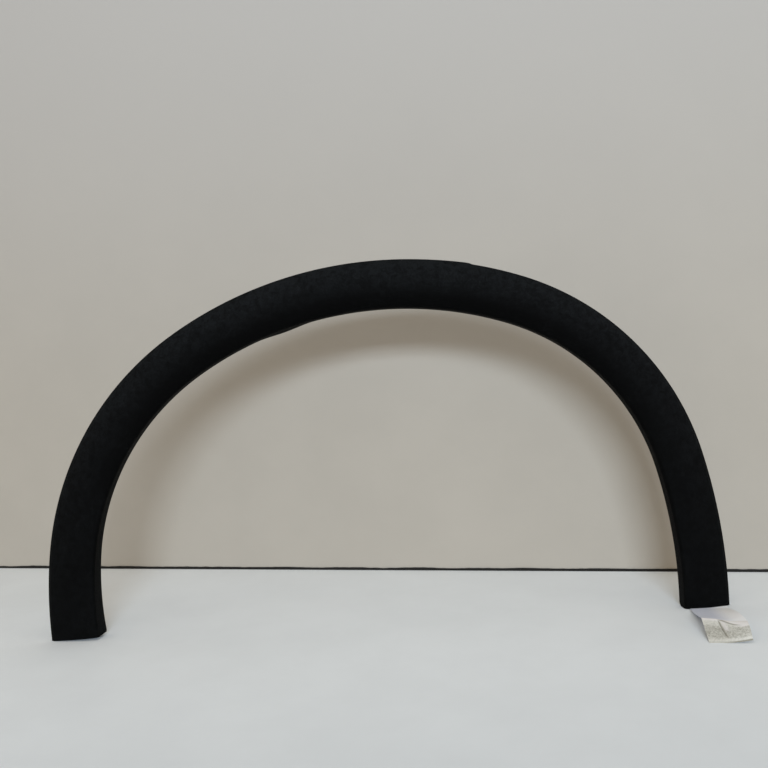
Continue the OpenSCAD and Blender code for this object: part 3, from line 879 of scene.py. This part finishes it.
class MOULDING_OT_slip(bpy.types.Operator):
    """Builds the folded paper slip under the right foot"""
    bl_idname = "moulding.slip"
    bl_label = "Build the paper slip"

    def execute(self, context):
        p, section = sizes("arch_slip"), sizes("arch_section")
        outline = Outline(sizes("arch_outline"), section)
        foot_x = outline.point(0)[0]
        front = outline.depth(foot_x - outline.crown_line) - section.crown_h_foot
        base = (Matrix.Translation((foot_x - section.band_w / 2, front, FLOOR))
                @ Matrix.Rotation(-p.turn, 4, "Z"))
        rows, columns = 96, 36
        full = p.back + p.front
        bm = bmesh.new()
        layer = bm.loops.layers.uv.new("along")
        grid, where = {}, {}
        for side in (0, 1):
            for i in range(rows + 1):
                u = -p.tuck + (full + p.tuck) * i / rows
                for j in range(columns + 1):
                    v = j / columns
                    h = slip_height(p, u, v) + side * p.thickness
                    vert = grid[side, i, j] = bm.verts.new(base @ Vector(((v - 0.5) * p.slip_w, -u, h)))
                    ridge = slip_ridge(p, v)
                    # 1 lies on the ridge and 2 at the free end
                    where[vert] = (u / ridge if u < ridge else 1 + (u - ridge) / (full - ridge), v)

        def face(*keys):
            f = bm.faces.new([grid[k] for k in keys])
            for loop in f.loops:
                loop[layer].uv = where[loop.vert]

        for i in range(rows):
            for j in range(columns):
                for side in (0, 1):
                    face((side, i, j), (side, i + 1, j), (side, i + 1, j + 1), (side, i, j + 1))
        for i in range(rows):
            for j in (0, columns):
                face((0, i, j), (0, i + 1, j), (1, i + 1, j), (1, i, j))
        for j in range(columns):
            for i in (0, rows):
                face((0, i, j), (0, i, j + 1), (1, i, j + 1), (1, i, j))
        slip = mesh_object("paper_slip", bm, (slip_paper(),))
        smooth(slip, 40)
        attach(slip, BODY)
        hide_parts("stock_label")
        return {"FINISHED"}


def between(x, knots):
    """A value read off straight lines between (x, value) knots."""
    for (x0, y0), (x1, y1) in zip(knots, knots[1:]):
        if x <= x1:
            return y0 + (y1 - y0) * max(0.0, (x - x0) / (x1 - x0))
    return knots[-1][1]


# (place across the slip from 0 to 1, value there) pairs: metres from the fold to the ridge, its height as
# a share of the fold's, how much the paper bows up to it, and the power with which it falls beyond it
RIDGE_PAST_FOLD = ((0, 0.002), (0.36, 0.006), (0.62, 0.017), (1, 0.022))
RIDGE_RISE = ((0, 1), (0.4, 1), (0.7, 1.10), (1, 1.22))
BOWED_SHARE = ((0, 0), (0.35, 0.1), (1, 1.0))
FALL_POWER = ((0, 1.0), (0.36, 1.0), (0.7, 1.3), (1, 2.0))
FREE_CORNER = (0.0036, 0.40, 1.5)  # its height, the place across at which it starts to rise, and the power
# the valley's depth, half its width, its place across at the ridge, its lean, and its end along the slip
VALLEY_DEPTH, VALLEY_HALF, VALLEY_FROM, VALLEY_LEAN, VALLEY_END = 0.0030, 0.06, 0.37, 0.13, 0.83


def slip_ridge(p, v):
    """Distance along the paper at which it is highest, which grows to the right."""
    return between(v, [(x, p.back + past) for x, past in RIDGE_PAST_FOLD])


def slip_height(p, u, v):
    """Height of the paper above the floor, u along it from the foot and v from its left to its right edge.
    On the left it breaks at a straight fold. To the right it bows up higher and stays up longer, a valley
    parts the two, and the free corner there turns down sharply."""
    if u <= 0:
        return 0.0
    ridge = slip_ridge(p, v)
    top = p.fold_h * between(v, RIDGE_RISE)
    if u <= ridge:
        w = u / ridge
        straight, bowed = w * (1 + w) / 2, sin(pi / 2 * w) ** 1.1
        return top * (straight + (bowed - straight) * between(v, BOWED_SHARE))
    w = (u - ridge) / (p.back + p.front - ridge)
    height, start, power = FREE_CORNER
    foot = height * max(0.0, (v - start) / (1 - start)) ** power
    valley = 0.0
    if w < VALLEY_END:
        beside = abs(v - VALLEY_FROM - VALLEY_LEAN * w) / VALLEY_HALF
        valley = VALLEY_DEPTH * max(0.0, 1 - beside) * sin(pi * min(1, w * 1.2))
    return foot + (top - foot) * (1 - w ** between(v, FALL_POWER)) - valley


class MOULDING_OT_stage(bpy.types.Operator):
    """Sets the table, the board behind, the lamps and the camera"""
    bl_idname = "moulding.stage"
    bl_label = "Set the stage"

    def execute(self, context):
        st, scene = sizes("arch_stage"), context.scene
        # painted shade makes the table darker in front, where the lamp is near, and painted light makes the
        # board paler towards its top
        dark = [c * 0.1 for c in st.table]
        table = self.sheet("table", st.table[:], dark, change=(-0.05, -1.5), rough=0.6)
        table.location = (0, 0, FLOOR)
        board = self.sheet("board", st.board[:], st.board_lit_top[:], change=(-2.85, -1.95), rough=0.8)
        upright = (Matrix.Translation((0, st.board_gap, FLOOR)) @ Matrix.Rotation(st.board_turn, 4, "Z")
                   @ Matrix.Rotation(pi / 2, 4, "X"))
        board.matrix_world = upright @ Matrix.Translation((0, SHEET_HALF, 0))
        # a black sheet paints the shade in the gap where the board meets the table
        self.gap_shade(st).matrix_world = upright @ Matrix.Translation((0, 0, JOINT_CLEAR))
        world = bpy.data.worlds.new("soft_room")
        world.use_nodes = True
        # the camera sees the board's tone beyond the sheets
        s = Shader(world.node_tree)
        tone = s.blend(s.add("ShaderNodeLightPath").outputs["Is Camera Ray"],
                       [c * st.room_strength for c in st.room], st.board[:])
        s.feed(world.node_tree.nodes["Background"], {"Color": tone})
        scene.world = world
        self.lamp("front", st.front, at=(0.12, -3.4, 0.66), towards=(0, 0, -0.05),
                  size=(1.2, 0.34), power=86)
        self.lamp("ceiling", st.above, at=(0, -0.15, 1.6), towards=(0, 0.05, 0),
                  size=(2.0, 1.0), power=4)
        camera = bpy.data.cameras.new("camera")
        camera.lens, camera.sensor_width = st.lens, 36
        view = bpy.data.objects.new("camera", camera)
        scene.collection.objects.link(view)
        view.matrix_world = (Matrix.Translation(st.eye) @ Matrix.Rotation(pi / 2 - st.pitch, 4, "X")
                             @ Matrix.Rotation(st.roll, 4, "Z"))
        scene.camera = view
        scene.view_settings.view_transform = "Standard"
        return {"FINISHED"}

    def sheet(self, name, tone, far_tone, change, rough):
        """A flat square with a faint mottle, whose tone changes between two places along its y."""
        bm = bmesh.new()
        bmesh.ops.create_grid(bm, x_segments=1, y_segments=1, size=SHEET_HALF)
        material, s, bsdf = new_material(name)
        where = s.object_place()
        low, high = [c * 0.98 for c in tone], [c * 1.02 for c in tone]
        mottled = s.blend(s.ramp(s.clouds(where, 7.0, detail=7.0, rough=0.62), 0.3, 0.7), low, high)
        along = s.add("ShaderNodeSeparateXYZ", {"Vector": where}).outputs["Y"]
        changed = s.blend(s.ramp(along, *change), mottled, far_tone)
        s.feed(bsdf, {"Base Color": changed, "Roughness": rough, "Specular IOR Level": 0.2})
        one_sided(s, bsdf)
        piece = mesh_object(name, bm, (material,))
        return piece

    def gap_shade(self, st):
        """A black sheet of painted shade for the gap at the foot of the board, with an uneven upper edge."""
        bm = bmesh.new()
        step, count, uneven = 0.004, 500, 0.28
        low, high = [], []
        for i in range(count + 1):
            x = (i - count / 2) * step
            # a slow wander and a quick one
            wander = noise((x * 18, 0, 0)) + 0.5 * noise((x * 90, 3, 0))
            low.append(bm.verts.new((x, 0, 0)))
            high.append(bm.verts.new((x, st.joint_h * (1 + uneven * wander), 0)))
        for i in range(count):
            bm.faces.new((low[i], low[i + 1], high[i + 1], high[i]))
        material, s, bsdf = new_material("gap_shade")
        s.feed(bsdf, {"Base Color": (*st.gap_shade, 1), "Roughness": 0.9})
        one_sided(s, bsdf)
        piece = mesh_object("gap_shade", bm, (material,))
        return piece

    def lamp(self, name, tone, at, towards, size, power):
        light = bpy.data.lights.new(name, "AREA")
        light.shape, light.size, light.size_y, light.energy = "RECTANGLE", size[0], size[1], power
        light.color = tone
        lamp = bpy.data.objects.new(name, light)
        bpy.context.scene.collection.objects.link(lamp)
        lamp.visible_camera = False
        lamp.location = at
        lamp.rotation_mode = "QUATERNION"
        lamp.rotation_quaternion = (Vector(towards) - Vector(at)).to_track_quat("-Z", "Y")


class MOULDING_PT_panel(bpy.types.Panel):
    """Lists the sizes and the steps that build the moulding"""
    bl_idname = "MOULDING_PT_panel"
    bl_label = "Fender moulding"
    bl_space_type = "VIEW_3D"
    bl_region_type = "UI"
    bl_category = "Moulding"

    def draw(self, context):
        for group, steps in STEPS:
            box = self.layout.box()
            for name in group:
                values = getattr(context.scene, name)
                for key in type(values).__annotations__:
                    box.prop(values, key)
            for step in steps:
                box.operator(step)


STEPS = [
    (("arch_outline", "arch_section", "arch_details", "arch_faults", "arch_finishes"), ("moulding.strip",)),
    (("arch_slip",), ("moulding.slip",)),
    (("arch_stage",), ("moulding.stage",)),
]
GROUPS = {
    "arch_outline": OutlineSizes, "arch_section": SectionSizes, "arch_details": DetailSizes,
    "arch_faults": FaultSizes, "arch_slip": SlipSizes, "arch_finishes": Finishes, "arch_stage": StageSizes,
}
CLASSES = (*GROUPS.values(), MOULDING_OT_strip, MOULDING_OT_slip, MOULDING_OT_stage, MOULDING_PT_panel)


def register():
    for c in CLASSES:
        bpy.utils.register_class(c)
    for name, group in GROUPS.items():
        setattr(bpy.types.Scene, name, PointerProperty(type=group))


def unregister():
    for name in GROUPS:
        delattr(bpy.types.Scene, name)
    for c in reversed(CLASSES):
        bpy.utils.unregister_class(c)


def main():
    register()
    bpy.ops.moulding.stage()
    bpy.ops.moulding.strip()
    bpy.ops.moulding.slip()


if __name__ == "__main__":
    main()
